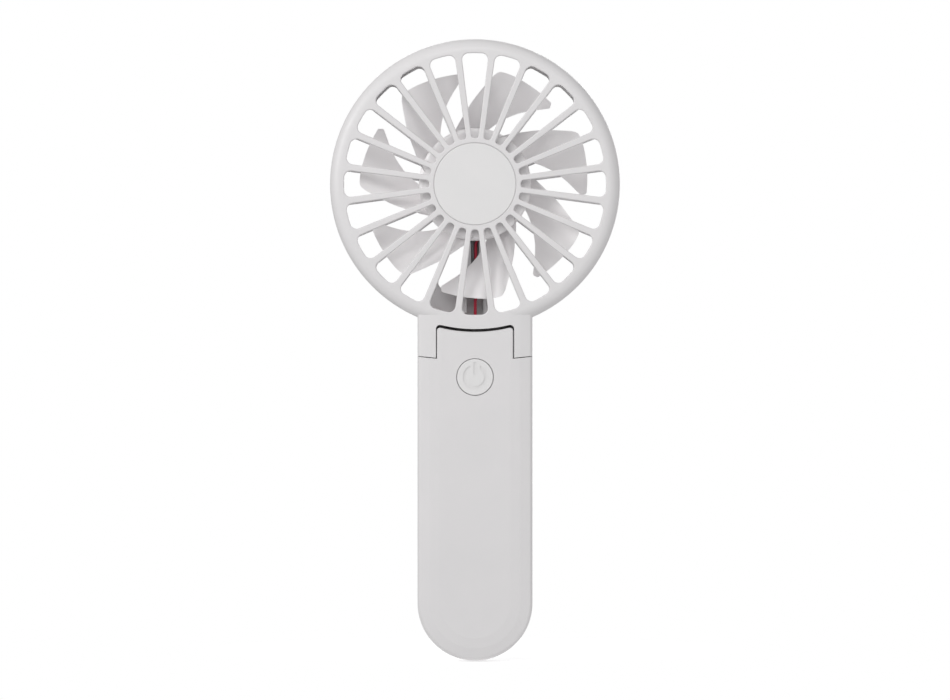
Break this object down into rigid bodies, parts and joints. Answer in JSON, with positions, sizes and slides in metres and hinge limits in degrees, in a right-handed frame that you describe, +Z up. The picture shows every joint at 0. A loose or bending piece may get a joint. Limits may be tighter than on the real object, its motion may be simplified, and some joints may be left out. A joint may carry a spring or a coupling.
{
  "type": "folding battery hand fan",
  "caption": "Slim folding battery hand fan: round slotted grille head with a ducted impeller, hinged on a rounded pill-shaped grip with a push button and side charging socket.",
  "frame": {"origin": "centre of the bounding box's bottom face, at the handle's rounded end", "axes": "+Z up along the handle towards the head, -Y out of the front where the air leaves, +X to the right seen from the front"},
  "size_m": [0.098, 0.0274, 0.21],
  "materials": {
    "white_shell": "fine satin moulded ABS",
    "white_trim": "fine satin moulded ABS",
    "white_blade": "smooth moulded polypropylene",
    "motor_steel": "drawn and plated",
    "plated_steel": "zinc or nickel plated",
    "bronze": "sintered",
    "brass": "turned",
    "copper": "turned",
    "ferrite": "sintered ferrite",
    "dark_plastic": "moulded nylon",
    "chip_black": "epoxy package",
    "board_green": "solder mask",
    "cell_wrap": "shrink film",
    "foam": "closed-cell foam",
    "red_wire": "PVC insulation",
    "black_wire": "PVC insulation",
    "sleeve": "heat-shrink tube"
  },
  "bodies": {
    "handle": {"handle_front_cover": "white_shell", "handle_rear_cover": "white_shell", "tact_switch": "plated_steel", "control_board": "board_green", "charging_socket": "plated_steel", "socket_tongue": "dark_plastic", "board_components": "chip_black", "board_screws": "plated_steel", "battery_cell": "cell_wrap", "battery_tabs": "plated_steel", "battery_pad": "foam", "battery_lead_red": "red_wire", "battery_lead_black": "black_wire", "wire_sleeve_handle": "sleeve", "motor_lead_red_handle": "red_wire", "motor_lead_black_handle": "black_wire", "handle_screws": "plated_steel", "hinge_bush": "brass", "hinge_pin": "motor_steel", "hinge_washer": "plated_steel", "hinge_clip": "plated_steel"},
    "head": {"front_grille": "white_shell", "rear_grille": "white_shell", "hub_cap": "white_trim", "motor_can": "motor_steel", "motor_endbell": "dark_plastic", "motor_bushing": "bronze", "motor_magnets": "ferrite", "motor_brushes": "copper", "motor_terminals": "brass", "motor_bracket": "plated_steel", "bracket_screws": "plated_steel", "head_screws": "plated_steel", "motor_lead_red_head": "red_wire", "motor_lead_black_head": "black_wire", "wire_sleeve_head": "sleeve"},
    "rotor": {"impeller": "white_blade", "motor_shaft": "motor_steel", "armature": "motor_steel", "commutator": "copper"},
    "button": {"power_button": "white_trim", "switch_plunger": "dark_plastic"}
  },
  "joints": [
    {"name": "head_fold", "type": "hinge", "parent": "handle", "child": "head", "pos_m": [0, 0.00975, 0.107], "axis": [-1, 0, 0], "range_deg": [0, 180]},
    {"name": "impeller_spin", "type": "hinge", "parent": "head", "child": "rotor", "pos_m": [0, 0, 0.161], "axis": [0, -1, 0], "continuous": true},
    {"name": "button_press", "type": "slide", "parent": "handle", "child": "button", "axis": [0, 1, 0], "range_m": [0, 0.0004], "stiffness_N_per_m": 600, "springref_m": -0.0008}
  ]
}
